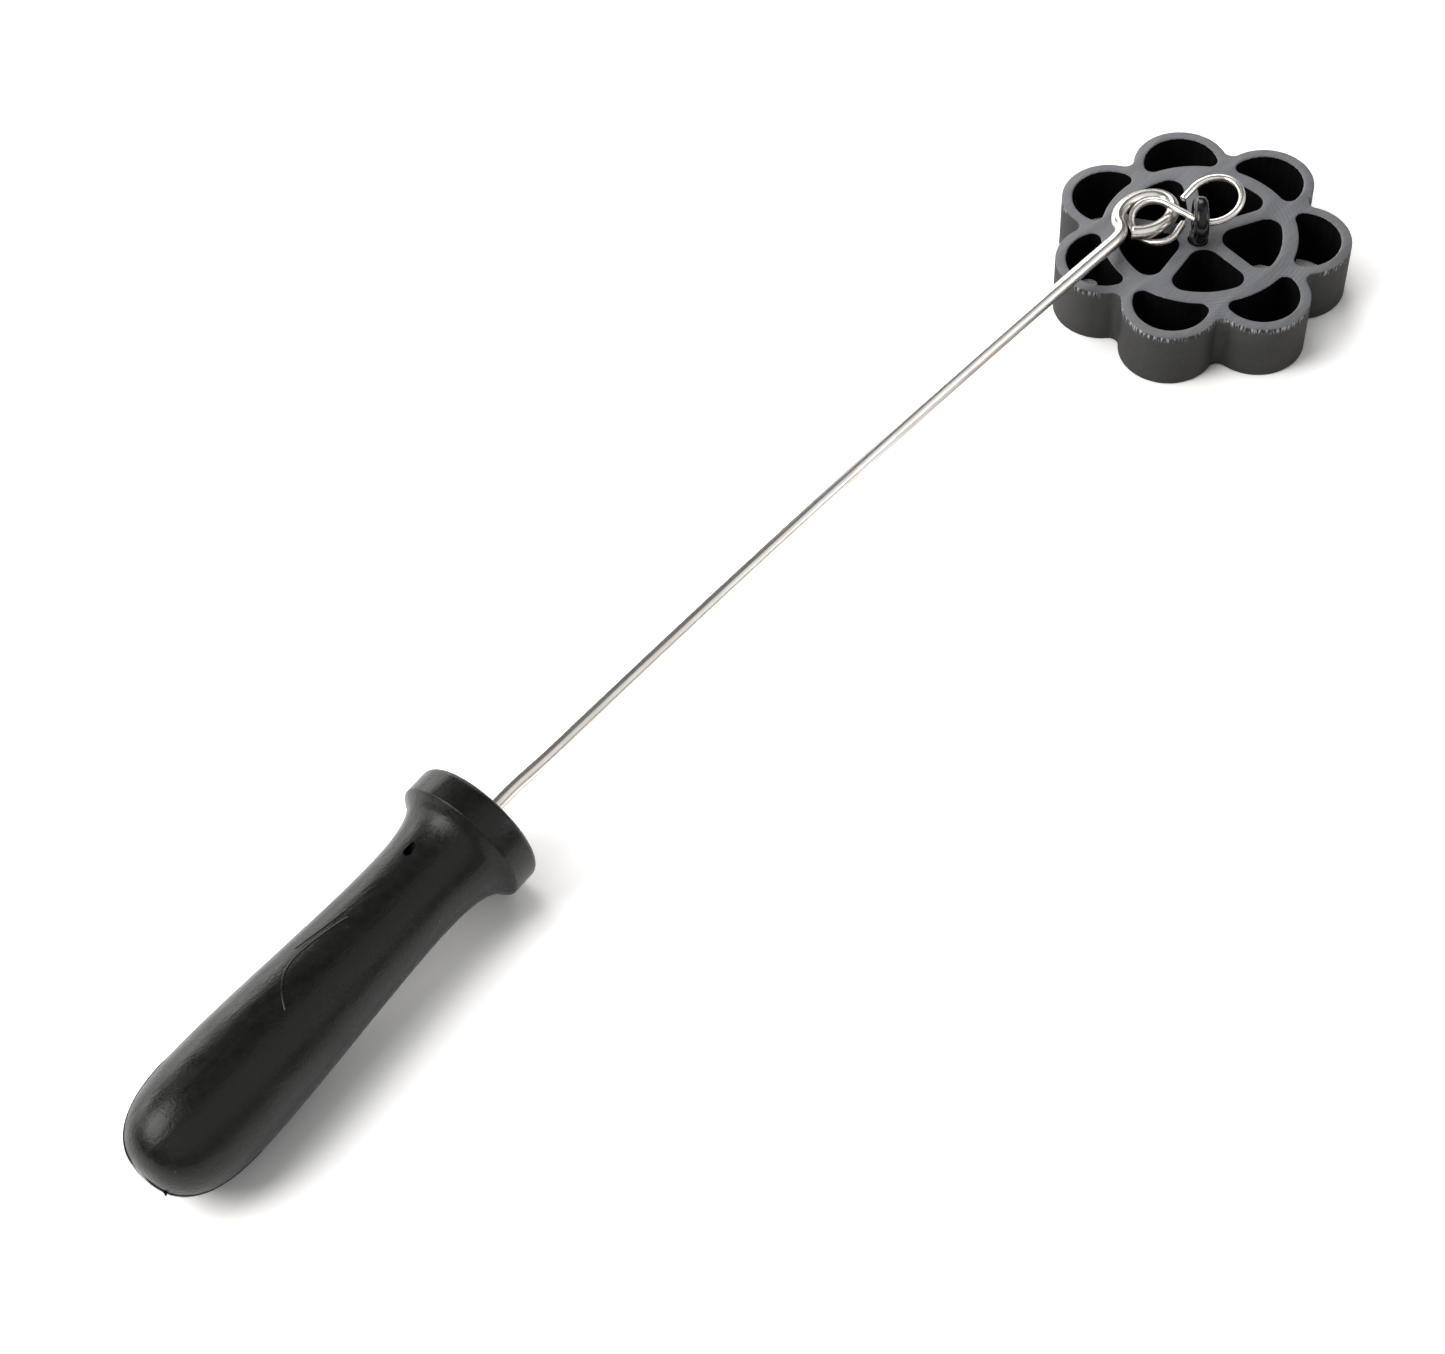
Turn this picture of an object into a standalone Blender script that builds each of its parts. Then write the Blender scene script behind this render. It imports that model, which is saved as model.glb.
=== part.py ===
"""Rosette iron: a cast flower mould that swings on a wire hook at the end of a long handle.

Frame: metres, +Z up. The origin is the centre of the mould's flat underside. The rod runs
along X, with the handle towards -X, and the iron lies on a table as it is put down.
"""

import math

import bmesh
import bpy
from mathutils import Matrix, Vector
from mathutils.geometry import interpolate_bezier

MM = 0.001
OBJECT_NAME = "rosette_iron"

# Fits shared by all pieces
contact_gap = 0.3 * MM
cut_overrun = 2.0 * MM
weld_distance = 0.003 * MM
same_point_distance = 0.03 * MM

# Mould casting
petal_count = 7
petal_turn = math.radians(-4.5)
mould_radius = 38.0 * MM
mould_height = 16.4 * MM
petal_radius = 12.2 * MM
valley_radius = 30.2 * MM
petal_wall = 2.7 * MM
petal_hole_corner = 2.2 * MM
sector_count = 5
sector_turn = math.radians(8.2)
sector_radius = 20.75 * MM
web_width = 4.05 * MM
spoke_width = 3.6 * MM
sector_corner = 3.5 * MM
sector_apex = 4.1 * MM
casting_edge = 0.4 * MM

# Eyelet on a stud that is screwed into the hub
eyelet_radius = 6.0 * MM
eyelet_thickness = 3.7 * MM
eyelet_hole_radius = 3.1 * MM
eyelet_hole_height = 6.6 * MM
eyelet_turn = math.radians(40.0)
eyelet_x = -2.2 * MM
eyelet_y = -1.2 * MM
eyelet_edge = 0.5 * MM
stud_radius = 2.3 * MM
stud_depth = 10.0 * MM
stud_rise = 1.6 * MM

# Hook, a figure of eight in round wire
hook_wire_radius = 0.9 * MM
hook_play = 0.55 * MM
hook_strand_x = -2.6 * MM
hook_rod_loop_across = 5.35 * MM
hook_rod_loop_along = 6.55 * MM
hook_rod_loop_y = 8.6 * MM
hook_rod_loop_tail = 3.4 * MM
hook_mould_loop_across = 7.4 * MM
hook_mould_loop_along = 6.6 * MM
hook_mould_loop_y = -0.2 * MM
hook_mould_loop_tail = 4.1 * MM
hook_mould_loop_rise = math.radians(9.7)
hook_loop_turn = math.radians(270.0)

# Rod with the eye bent at its end
rod_radius = 1.75 * MM
rod_y = 11.3 * MM
rod_start_x = -242.0 * MM
rod_bend = 12.0 * MM
rod_neck_x = -22.0 * MM
rod_neck_height = 5.6 * MM
rod_neck_bend = 3.0 * MM
rod_bow = 2.9 * MM
eye_across = 8.7 * MM
eye_along = 5.8 * MM
eye_x = -6.6 * MM
eye_y = 12.35 * MM
eye_slope = math.radians(-7.0)
eye_first_angle = math.radians(160.0)
eye_last_angle = math.radians(-160.0)
eye_lead_angle = math.radians(6.0)
rod_tail = 62.0 * MM
rod_hook = 8.0 * MM
rod_hook_bend = 3.5 * MM

# Handle, moulded round the rod's tail
handle_length = 103.0 * MM
flange_radius = 16.0 * MM
flange_band = 7.2 * MM
flange_edge = 1.6 * MM
flange_rear_turn = math.radians(45.0)
waist_radius = 10.9 * MM
waist_at = 24.0 * MM
flare_corner = 15.0 * MM
belly_radius = 13.6 * MM
belly_at = 82.0 * MM
dome_power = 2.6
handle_turn = math.radians(4.6)
pin_hole_radius = 1.3 * MM
pin_hole_depth = 4.0 * MM
pin_hole_at = 18.3 * MM
pin_hole_turn = math.radians(80.0)

# Facets
arc_steps = 8
turn_steps = 36
loop_steps = 24
wire_sides = 2
crisp_angle = math.radians(35.0)

part_collection = bpy.data.collections.new(OBJECT_NAME)
cutter_collection = bpy.data.collections.new("cutters")


def clear_scene():
    """Remove every object that the scene holds."""
    for old in list(bpy.data.objects):
        bpy.data.objects.remove(old, do_unlink=True)


def make_material(name, colour, roughness, metallic):
    """Make one plain material."""
    material = bpy.data.materials.new(name)
    material.use_nodes = True
    shader = material.node_tree.nodes["Principled BSDF"]
    shader.inputs["Base Color"].default_value = (*colour, 1.0)
    shader.inputs["Roughness"].default_value = roughness
    shader.inputs["Metallic"].default_value = metallic
    return material


def add_object(name, data, collection):
    """Link new data to a collection as an object."""
    piece = bpy.data.objects.new(name, data)
    collection.objects.link(piece)
    return piece


def add_cutter(name, mesh):
    """Keep a tool shape out of the model."""
    cutter = add_object(name, mesh, cutter_collection)
    cutter.hide_render = True
    cutter.display_type = "WIRE"
    return cutter


def combine(piece, other, operation):
    """Cut or join a piece with another by a Boolean modifier."""
    modifier = piece.modifiers.new(other.name, "BOOLEAN")
    modifier.operation = operation
    modifier.object = other


def mesh_from_curve(name, curve, collection):
    """Turn a curve into a closed mesh object."""
    source = add_object(name + "_outline", curve, cutter_collection)
    bpy.context.view_layer.update()
    evaluated = source.evaluated_get(bpy.context.evaluated_depsgraph_get())
    mesh = bpy.data.meshes.new_from_object(evaluated)
    mesh.name = name
    shape = bmesh.new()
    shape.from_mesh(mesh)
    bmesh.ops.remove_doubles(shape, verts=shape.verts, dist=weld_distance)
    bmesh.ops.recalc_face_normals(shape, faces=shape.faces)
    shape.to_mesh(mesh)
    shape.free()
    piece = add_object(name, mesh, collection)
    piece.matrix_world = source.matrix_world
    bpy.data.objects.remove(source)
    return piece


def arc(centre, radius, start, end, steps=arc_steps):
    """Points along an arc, both ends included."""
    points = []
    for step in range(steps + 1):
        angle = start + (end - start) * step / steps
        x = centre[0] + radius * math.cos(angle)
        y = centre[1] + radius * math.sin(angle)
        points.append((x, y))
    return points


def turned(points, angle):
    """Turn plan points about the origin."""
    cosine, sine = math.cos(angle), math.sin(angle)
    return [(x * cosine - y * sine, x * sine + y * cosine) for x, y in points]


def without_repeats(points):
    """Drop points that lie on the one before them."""
    kept = []
    for point in points:
        if not kept or math.dist(point, kept[-1]) > same_point_distance:
            kept.append(point)
    if math.dist(kept[0], kept[-1]) < same_point_distance:
        kept.pop()
    return kept


def add_outline(curve, points):
    """Add a closed outline to a flat curve."""
    points = without_repeats(points)
    spline = curve.splines.new("POLY")
    spline.points.add(len(points) - 1)
    for target, (x, y) in zip(spline.points, points):
        target.co = (x, y, 0.0, 1.0)
    spline.use_cyclic_u = True


def petal_centre_radius():
    """Distance from the mould's axis to each petal's centre."""
    return mould_radius - petal_radius


def mould_outline():
    """The flower outline: round petals with filleted valleys between them."""
    half_pitch = math.pi / petal_count
    centre = petal_centre_radius()
    along = centre * math.cos(half_pitch)
    aside = centre * math.sin(half_pitch)
    inward = valley_radius - along
    fillet = (inward ** 2 + aside ** 2 - petal_radius ** 2) / (2 * (petal_radius - inward))
    fillet_centre = valley_radius + fillet
    reach = math.atan2(
        fillet_centre * math.sin(half_pitch),
        fillet_centre * math.cos(half_pitch) - centre,
    )
    points = []
    for petal in range(petal_count):
        turn = petal_turn + 2 * half_pitch * petal
        points += turned(arc((centre, 0.0), petal_radius, -reach, reach, 2 * arc_steps), turn)
        valley = (
            fillet_centre * math.cos(half_pitch),
            fillet_centre * math.sin(half_pitch),
        )
        start = reach + math.pi
        end = 2 * half_pitch - reach + math.pi
        points += turned(arc(valley, fillet, start, end, arc_steps // 2), turn)
    return points


def petal_hole_outline(turn):
    """One bean-shaped hole behind a petal's wall."""
    centre = petal_centre_radius()
    outer = petal_radius - petal_wall
    inner = sector_radius + web_width
    to_origin = inner + petal_hole_corner
    to_centre = outer - petal_hole_corner
    x = (to_origin ** 2 - to_centre ** 2 + centre ** 2) / (2 * centre)
    y = math.sqrt(to_origin ** 2 - x ** 2)
    reach = math.atan2(y, x - centre)
    spread = math.atan2(y, x)
    corner_steps = arc_steps // 2
    points = arc((centre, 0.0), outer, -reach, reach, 2 * arc_steps)
    points += arc((x, y), petal_hole_corner, reach, spread + math.pi, corner_steps)
    points += arc((0.0, 0.0), inner, spread, -spread, corner_steps)
    points += arc((x, -y), petal_hole_corner, math.pi - spread, 2 * math.pi - reach, corner_steps)
    return turned(points, turn)


def sector_hole_outline(turn):
    """One rounded triangle between two spokes."""
    half_pitch = math.pi / sector_count
    half_spoke = spoke_width / 2
    apex = (half_spoke + sector_apex) / math.sin(half_pitch)
    corner_reach = sector_radius - sector_corner
    corner_angle = half_pitch - math.asin((half_spoke + sector_corner) / corner_reach)
    x = corner_reach * math.cos(corner_angle)
    y = corner_reach * math.sin(corner_angle)
    side = half_pitch + math.pi / 2
    corner_steps = arc_steps // 2
    points = arc((0.0, 0.0), sector_radius, -corner_angle, corner_angle, corner_steps)
    points += arc((x, y), sector_corner, corner_angle, side, corner_steps)
    points += arc((apex, 0.0), sector_apex, side, 2 * math.pi - side, corner_steps)
    points += arc((x, -y), sector_corner, 2 * math.pi - side, 2 * math.pi - corner_angle, corner_steps)
    return turned(points, turn)


def make_cylinder(radius, height, matrix, steps=turn_steps):
    """A closed cylinder mesh, centred before the matrix places it."""
    shape = bmesh.new()
    bmesh.ops.create_cone(
        shape,
        cap_ends=True,
        segments=steps,
        radius1=radius,
        radius2=radius,
        depth=height,
        matrix=matrix,
    )
    mesh = bpy.data.meshes.new("cylinder")
    shape.to_mesh(mesh)
    shape.free()
    return mesh


def upright_cylinder(radius, bottom, top):
    """A cylinder about the eyelet's upright axis between two heights."""
    middle = Matrix.Translation((eyelet_x, eyelet_y, (bottom + top) / 2))
    return make_cylinder(radius, top - bottom, middle)


def stud_bottom():
    """Height of the stud's lower end, inside the hub."""
    return mould_height - stud_depth


def make_mould_body(material):
    """The casting, with its petal and sector holes, and a blind bore for the stud."""
    curve = bpy.data.curves.new("mould_body", "CURVE")
    curve.dimensions = "2D"
    curve.fill_mode = "BOTH"
    curve.extrude = mould_height / 2 - casting_edge
    curve.bevel_depth = casting_edge
    curve.bevel_resolution = 1
    curve.offset = -casting_edge
    add_outline(curve, mould_outline())
    for petal in range(petal_count):
        turn = petal_turn + 2 * math.pi * petal / petal_count
        add_outline(curve, petal_hole_outline(turn))
    for sector in range(sector_count):
        turn = sector_turn + 2 * math.pi * sector / sector_count
        add_outline(curve, sector_hole_outline(turn))
    body = mesh_from_curve("mould_body", curve, part_collection)
    body.data.transform(Matrix.Translation((0.0, 0.0, mould_height / 2)))
    bore_bottom = stud_bottom() - contact_gap
    bore = upright_cylinder(stud_radius + contact_gap, bore_bottom, mould_height + cut_overrun)
    combine(body, add_cutter("stud_bore", bore), "DIFFERENCE")
    body.data.materials.append(material)
    return body


def eyelet_frame():
    """Where the eyelet's disc stands: its hole's axis is local Z."""
    place = Matrix.Translation((eyelet_x, eyelet_y, hook_height()))
    return place @ Matrix.Rotation(eyelet_turn, 4, "Z") @ Matrix.Rotation(math.pi / 2, 4, "X")


def hook_height():
    """Height of the hook's straight strand, in the middle of the eyelet's hole."""
    return mould_height + eyelet_hole_height


def make_eyelet(material):
    """A round ear with a hole, on a stud that goes down into the hub."""
    disc = make_cylinder(eyelet_radius, eyelet_thickness, eyelet_frame())
    eyelet = add_object("eyelet", disc, part_collection)
    rounding = eyelet.modifiers.new("edges", "BEVEL")
    rounding.width = eyelet_edge
    rounding.segments = 2
    foot = mould_height + contact_gap
    below = upright_cylinder(2 * eyelet_radius, foot - eyelet_radius, foot)
    combine(eyelet, add_cutter("eyelet_foot", below), "DIFFERENCE")
    hole = make_cylinder(eyelet_hole_radius, eyelet_thickness + cut_overrun, eyelet_frame())
    combine(eyelet, add_cutter("eyelet_hole", hole), "DIFFERENCE")
    stud = upright_cylinder(stud_radius, stud_bottom(), foot + stud_rise)
    combine(eyelet, add_cutter("stud", stud), "UNION")
    eyelet.data.materials.append(material)
    return eyelet


def make_wire(name, points, radius, collection):
    """A round wire along a route, with flat ends."""
    curve = bpy.data.curves.new(name, "CURVE")
    curve.dimensions = "3D"
    curve.bevel_depth = radius
    curve.bevel_resolution = wire_sides
    curve.use_fill_caps = True
    spline = curve.splines.new("POLY")
    spline.points.add(len(points) - 1)
    for target, point in zip(spline.points, points):
        target.co = (*point, 1.0)
    return mesh_from_curve(name, curve, collection)


def hook_loop(side, across, along, centre_y, tail, tilt):
    """Points of one loop, from its tangent on the strand round to its cut end."""
    outward = Vector((side * math.cos(tilt), 0.0, side * math.sin(tilt)))
    start = Vector((hook_strand_x, 0.0, hook_height()))
    points = []
    for step in range(loop_steps + 1):
        angle = math.pi - hook_loop_turn * step / loop_steps
        lateral = across * (1.0 + math.cos(angle))
        y = centre_y - side * along * math.sin(angle)
        points.append(start + outward * lateral + Vector((0.0, y, 0.0)))
    points.append(points[-1] - outward * tail)
    return points


def crossing_height():
    """Height between the centre lines of the hook's wire and the rod where they cross."""
    return hook_wire_radius + rod_radius + hook_play


def rod_loop_dip():
    """Tilt of the rod's loop: it takes the far side of the loop under the eye."""
    width = 2 * hook_rod_loop_across
    eye_rise = -width * math.tan(eye_slope)
    return math.asin((2 * crossing_height() - eye_rise) / width)


def make_hook(material):
    """The figure-of-eight hook: one straight strand with a loop turned at each end."""
    rod_loop = hook_loop(
        -1.0,
        hook_rod_loop_across,
        hook_rod_loop_along,
        hook_rod_loop_y,
        hook_rod_loop_tail,
        rod_loop_dip(),
    )
    mould_loop = hook_loop(
        1.0,
        hook_mould_loop_across,
        hook_mould_loop_along,
        hook_mould_loop_y,
        hook_mould_loop_tail,
        hook_mould_loop_rise,
    )
    points = list(reversed(rod_loop)) + mould_loop
    hook = make_wire("s_hook", points, hook_wire_radius, part_collection)
    hook.data.materials.append(material)
    return hook


def handle_tilt():
    """Tilt that rests both the flange's rear edge and the belly on the table."""
    return math.atan((flange_radius - belly_radius) / (belly_at - flange_band))


def mouth_height():
    """Height of the handle's axis at the flange's face."""
    return flange_radius * math.cos(handle_tilt()) + flange_band * math.sin(handle_tilt())


def handle_frame():
    """The handle's frame: its origin on the flange's face, local Z along its axis to the rod."""
    forward = Vector((
        math.cos(handle_turn) * math.cos(handle_tilt()),
        math.sin(handle_turn) * math.cos(handle_tilt()),
        math.sin(handle_tilt()),
    ))
    place = Vector((rod_start_x, rod_y, mouth_height()))
    turn = forward.to_track_quat("Z", "Y")
    return Matrix.Translation(place) @ turn.to_matrix().to_4x4()


def eye_point(angle):
    """A point on the eye's centre line, in a plane that slopes along X."""
    x = eye_x + eye_across * math.cos(angle)
    y = eye_y + eye_along * math.sin(angle)
    return Vector((x, y, eye_height(x)))


def eye_height(x):
    """Height of the eye's plane, which passes under the hook's strand."""
    return hook_height() - crossing_height() + (x - hook_strand_x) * math.tan(eye_slope)


def rod_route(extra_tail):
    """Centre line of the rod, from the hooked tail in the handle to the eye's cut end."""
    frame = handle_frame()
    points = [frame @ Vector((0.0, -rod_hook - extra_tail, -rod_tail))]
    bend_centre = (-rod_hook_bend, rod_hook_bend - rod_tail)
    for y, z in arc(bend_centre, rod_hook_bend, -math.pi / 2, 0.0):
        points.append(frame @ Vector((0.0, y, z)))
    mouth = frame.to_translation()
    forward = (frame.to_3x3() @ Vector((0.0, 0.0, 1.0))).normalized()
    points.append(mouth)

    arch_start = Vector((rod_start_x + 2 * rod_bend, rod_y, 0.0))
    arch_end = Vector((rod_neck_x, rod_y, mould_height + rod_neck_height))
    span = arch_end.x - rod_start_x
    arch = []
    arch_steps = 2 * arc_steps
    for step in range(arch_steps + 1):
        x = arch_start.x + (arch_end.x - arch_start.x) * step / arch_steps
        share = (x - rod_start_x) / span
        chord = mouth.z + (arch_end.z - mouth.z) * share
        arch.append(Vector((x, rod_y, chord + 4 * rod_bow * share * (1.0 - share))))
    arch_lead = (arch[0] - arch[1]).normalized() * rod_bend
    bend_start = mouth + forward * rod_radius
    points += interpolate_bezier(
        bend_start, bend_start + forward * rod_bend, arch[0] + arch_lead, arch[0], arc_steps
    )
    points += arch[1:]

    first = eye_point(eye_first_angle)
    into_eye = (eye_point(eye_first_angle - eye_lead_angle) - first).normalized() * rod_neck_bend
    out_of_arch = (arch[-1] - arch[-2]).normalized() * rod_neck_bend
    neck = interpolate_bezier(arch[-1], arch[-1] + out_of_arch, first - into_eye, first, arc_steps)
    points += neck[1:]
    eye_steps = 3 * arc_steps
    for step in range(1, eye_steps + 1):
        angle = eye_first_angle + (eye_last_angle - eye_first_angle) * step / eye_steps
        points.append(eye_point(angle))
    return points


def make_rod(material):
    """The rod: a hooked tail, a slightly bowed shank and a closed eye."""
    rod = make_wire("rod", rod_route(0.0), rod_radius, part_collection)
    rod.data.materials.append(material)
    return rod


def handle_profile():
    """The handle's outer line, from the flange's face over the waist and belly to the dome."""
    points = [(0.0, 0.0)]
    rim = (flange_radius - flange_edge, -flange_edge)
    corner_steps = arc_steps // 2
    points += arc(rim, flange_edge, math.pi / 2, 0.0, corner_steps)
    rear = (flange_radius - flange_edge, -(flange_band - flange_edge / 2))
    points += arc(rear, flange_edge, 0.0, -flange_rear_turn, corner_steps)
    flare_start = points[-1]
    flare = interpolate_bezier(
        Vector((*flare_start, 0.0)),
        Vector((flare_start[0] - flange_edge, flare_start[1] - flange_edge, 0.0)),
        Vector((waist_radius, -waist_at + flare_corner, 0.0)),
        Vector((waist_radius, -waist_at, 0.0)),
        arc_steps,
    )
    points += [(point.x, point.y) for point in flare[1:]]
    body = interpolate_bezier(
        Vector((waist_radius, -waist_at, 0.0)),
        Vector((waist_radius, -(waist_at + flare_corner), 0.0)),
        Vector((belly_radius, -(belly_at - flare_corner), 0.0)),
        Vector((belly_radius, -belly_at, 0.0)),
        arc_steps,
    )
    points += [(point.x, point.y) for point in body[1:]]
    dome = handle_length - belly_at
    for step in range(1, arc_steps + 1):
        angle = math.pi / 2 * step / arc_steps
        radius = belly_radius * math.cos(angle) ** (2 / dome_power)
        depth = dome * math.sin(angle) ** (2 / dome_power)
        points.append((radius, -(belly_at + depth)))
    points[-1] = (0.0, -handle_length)
    return points


def make_handle(material):
    """The moulded handle, hollow only where the rod's tail sits, with a blind pin hole."""
    profile = handle_profile()
    mesh = bpy.data.meshes.new("handle")
    shape = bmesh.new()
    corners = [shape.verts.new((radius, 0.0, height)) for radius, height in profile]
    for first, second in zip(corners, corners[1:]):
        shape.edges.new((first, second))
    shape.to_mesh(mesh)
    shape.free()
    handle = add_object("handle", mesh, part_collection)
    handle.matrix_world = handle_frame()
    turning = handle.modifiers.new("turning", "SCREW")
    turning.steps = turn_steps
    turning.render_steps = turn_steps
    turning.use_merge_vertices = True
    turning.merge_threshold = same_point_distance
    turning.use_normal_calculate = True
    turning.use_smooth_shade = True

    socket = make_wire("rod_socket", rod_route(contact_gap), rod_radius + contact_gap, cutter_collection)
    socket.hide_render = True
    socket.display_type = "WIRE"
    combine(handle, socket, "DIFFERENCE")

    out = Matrix.Rotation(pin_hole_turn, 4, "Z") @ Matrix.Rotation(math.pi / 2, 4, "Y")
    reach = flange_radius
    start = waist_radius + contact_gap - pin_hole_depth
    place = (
        Matrix.Translation((0.0, 0.0, -pin_hole_at))
        @ out
        @ Matrix.Translation((0.0, 0.0, start + reach / 2))
    )
    pin_hole = add_cutter("pin_hole", make_cylinder(pin_hole_radius, reach, place, 2 * arc_steps))
    pin_hole.matrix_world = handle_frame()
    combine(handle, pin_hole, "DIFFERENCE")
    handle.data.materials.append(material)
    return handle


def pivot(name, parts, place):
    """Put an empty on a joint's axis and hang its pieces on it."""
    empty = add_object(name, None, part_collection)
    empty.location = place
    bpy.context.view_layer.update()
    for part in parts:
        world = part.matrix_world.copy()
        part.parent = empty
        part.matrix_parent_inverse = empty.matrix_world.inverted()
        part.matrix_world = world
    return empty


def smooth(piece):
    """Shade the round faces smooth and keep the corners crisp."""
    piece.data.shade_smooth()
    piece.data.set_sharp_from_angle(angle=crisp_angle)


def main():
    """Build the five pieces and hang the moving ones on their pivots."""
    clear_scene()
    bpy.context.scene.collection.children.link(part_collection)
    bpy.context.scene.collection.children.link(cutter_collection)
    casting = make_material("coated_casting", (0.16, 0.16, 0.17), 0.55, 0.3)
    ear = make_material("blackened_steel", (0.02, 0.02, 0.022), 0.3, 0.6)
    wire = make_material("bright_wire", (0.72, 0.70, 0.67), 0.2, 1.0)
    grip = make_material("moulded_plastic", (0.012, 0.012, 0.013), 0.5, 0.0)

    smooth(make_mould_body(casting))
    smooth(make_eyelet(ear))
    hook = make_hook(wire)
    smooth(hook)
    rod = make_rod(wire)
    smooth(rod)
    handle = make_handle(grip)
    axis = Vector((hook_strand_x, 0.0, hook_height()))
    rod_pivot = pivot("rod_pivot", [rod, handle], axis)
    pivot("hook_pivot", [hook, rod_pivot], axis)


main()
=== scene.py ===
"""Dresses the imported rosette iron: casting, ear, wire hook, rod and moulded handle."""

import math

import bmesh
import bpy
from mathutils import Matrix, Vector, noise
from mathutils.geometry import interpolate_bezier


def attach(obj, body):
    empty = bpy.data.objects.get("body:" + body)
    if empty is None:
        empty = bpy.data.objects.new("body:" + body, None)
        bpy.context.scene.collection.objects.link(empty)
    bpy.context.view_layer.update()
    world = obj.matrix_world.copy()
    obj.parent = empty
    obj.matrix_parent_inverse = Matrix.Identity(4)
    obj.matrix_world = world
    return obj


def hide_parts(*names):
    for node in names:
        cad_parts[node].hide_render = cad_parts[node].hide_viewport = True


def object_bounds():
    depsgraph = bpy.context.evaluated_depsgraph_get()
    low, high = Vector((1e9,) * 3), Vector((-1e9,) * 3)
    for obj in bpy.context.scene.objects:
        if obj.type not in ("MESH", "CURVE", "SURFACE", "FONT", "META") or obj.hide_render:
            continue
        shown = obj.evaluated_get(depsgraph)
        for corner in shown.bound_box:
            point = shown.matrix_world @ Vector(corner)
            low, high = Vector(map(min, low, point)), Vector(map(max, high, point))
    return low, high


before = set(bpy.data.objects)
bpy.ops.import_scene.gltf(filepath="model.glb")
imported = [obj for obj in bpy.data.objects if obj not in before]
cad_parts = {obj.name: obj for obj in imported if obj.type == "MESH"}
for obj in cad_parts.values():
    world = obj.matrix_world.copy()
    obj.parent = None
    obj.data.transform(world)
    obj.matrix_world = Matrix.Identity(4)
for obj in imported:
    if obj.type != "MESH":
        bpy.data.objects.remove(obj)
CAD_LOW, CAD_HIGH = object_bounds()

bl_info = {
    "name": "Rosette iron",
    "version": (1, 0, 0),
    "blender": (4, 5, 0),
    "location": "3D View > Sidebar > Rosette iron",
    "description": "Models and finishes a rosette iron around its packed solids",
    "category": "Add Mesh",
}

MM = 0.001
MERGE_GAP = 0.003 * MM  # vertices closer than this are one
POINT_GAP = 0.03 * MM  # least distance between an outline's points
SHARP_EDGE = math.radians(40.0)  # edges bent more than this are drawn sharp


def length(name, description, millimetres):
    """A length that the user can change."""
    return bpy.props.FloatProperty(
        name=name, description=description, default=millimetres * MM, unit="LENGTH", precision=5
    )


def angle(name, description, degrees):
    """An angle that the user can change."""
    return bpy.props.FloatProperty(
        name=name, description=description, default=math.radians(degrees), unit="ROTATION"
    )


def colour(name, description, default, most=1.0):
    """A colour that the user can change."""
    return bpy.props.FloatVectorProperty(
        name=name, description=description, default=default, subtype="COLOR", min=0.0, max=most
    )


def amount(name, description, default):
    """A plain number that the user can change."""
    return bpy.props.FloatProperty(name=name, description=description, default=default, subtype="FACTOR")


class MouldSettings(bpy.types.PropertyGroup):
    """Sizes and finish of the casting."""

    petals: bpy.props.IntProperty(name="Petals", description="Petals round the rim", default=7)
    petal_turn: angle("Petal turn", "Where the first petal points", -4.5)
    radius: length("Radius", "From the axis to a petal's tip", 38.0)
    height: length("Height", "Height of the casting", 16.4)
    petal_radius: length("Petal radius", "Radius of each petal's outside", 12.2)
    valley_radius: length("Valley radius", "From the axis to the bottom of a valley", 30.2)
    petal_wall: length("Petal wall", "Wall outside a petal's hole", 2.7)
    petal_corner: length("Petal hole corner", "Corner radius of the petal holes", 2.2)
    sectors: bpy.props.IntProperty(name="Sectors", description="Holes round the hub", default=5)
    sector_turn: angle("Sector turn", "Where the first sector hole points", 8.2)
    sector_radius: length("Sector radius", "From the axis to the holes' far side", 20.75)
    web: length("Web", "Ring between the two rows of holes", 4.05)
    spoke: length("Spoke", "Width of each spoke", 3.6)
    sector_corner: length("Sector corner", "Radius of the outer corners", 3.5)
    sector_apex: length("Sector apex", "Radius of the inner corners", 4.1)
    edge: length("Edge", "Rounding of the casting's edges", 0.4)
    burr: length("Burr", "How far the trimmed rim is nicked", 0.30)
    wall_colour: colour("Wall colour", "Coat on the upright walls", (0.031, 0.033, 0.032))
    wall_haze: colour("Wall haze", "Paler clouds in the walls' coat", (0.045, 0.047, 0.046))
    # Painted sheen: the top face's lighter coat below is partly its ground finish and partly a painted sheen
    # of the overhead light.
    face_colour_and_sheen: colour("Face colour", "Coat on the ground top face", (0.108, 0.113, 0.124))
    face_haze_and_sheen: colour("Face haze", "Paler clouds on the top face", (0.155, 0.161, 0.175))
    # Painted shade: the holes' walls get these near-black colours, which stand in for the shade inside the
    # holes.
    hole_shade_colour: colour("Hole colour", "Coat inside the holes", (0.003, 0.003, 0.003))
    hole_shade_haze: colour("Hole haze", "Paler marks inside the holes", (0.0055, 0.0055, 0.0055))
    pit_colour: colour("Pit colour", "Pale pits in the walls", (0.055, 0.055, 0.056))
    ground_colour: colour("Ground colour", "Grinding marks on the top face", (0.075, 0.079, 0.086))
    ring_colour: colour("Ring colour", "Turning marks on the top face", (0.060, 0.063, 0.069))
    nick_colour: colour("Nick colour", "Dark nicks under the rim", (0.006, 0.006, 0.006))
    scuff_colour: colour("Scuff colour", "Bare metal under the rim", (0.48, 0.48, 0.49))
    scuff_reach: length("Scuff reach", "How far down the scuffs reach", 2.1)
    scuff_full: length("Scuff full", "Down to here the scuffs are full", 0.7)
    gloss: amount("Gloss", "Specular level of the coat", 0.42)
    hole_gloss: amount("Hole gloss", "Specular level inside the holes", 0.03)


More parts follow.
